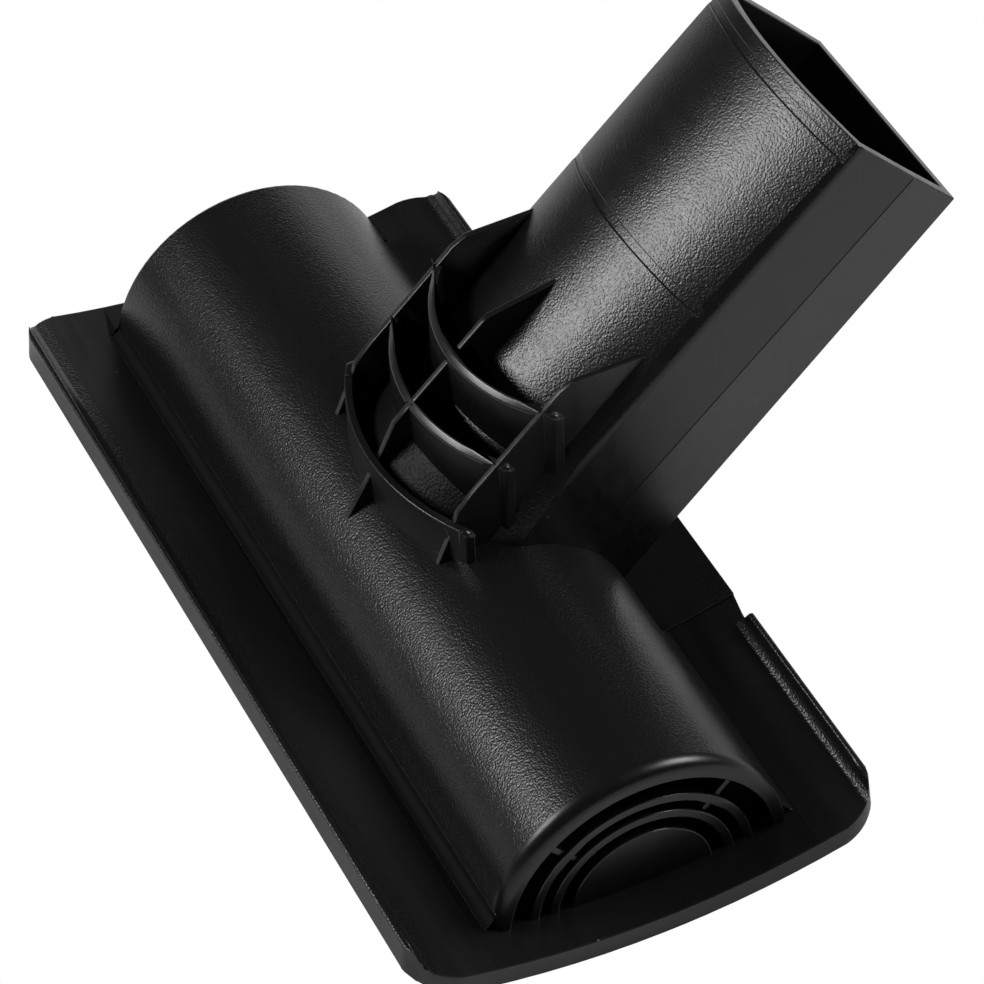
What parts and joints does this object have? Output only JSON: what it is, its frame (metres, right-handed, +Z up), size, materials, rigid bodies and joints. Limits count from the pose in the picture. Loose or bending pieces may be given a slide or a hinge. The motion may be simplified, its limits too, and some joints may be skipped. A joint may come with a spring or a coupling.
{
  "type": "vacuum upholstery nozzle",
  "caption": "Black moulded upholstery nozzle: a half-round suction barrel on a curved sole with rails, a D-shaped tube socket leaning back, and a cage of thin ribs at the elbow.",
  "frame": {"origin": "on the lowest line of the curved sole, under the middle of the barrel", "axes": "+X along the suction barrel, +Y towards the side the socket leans to, +Z up from the sole"},
  "size_m": [0.15, 0.1112, 0.0805],
  "materials": {
    "moulding": "satin black moulding with a fine grain on the barrel and on the front of the socket, and smoother ends, sides and edges"
  },
  "bodies": {
    "root": {"nozzle": "moulding"}
  },
  "joints": []
}
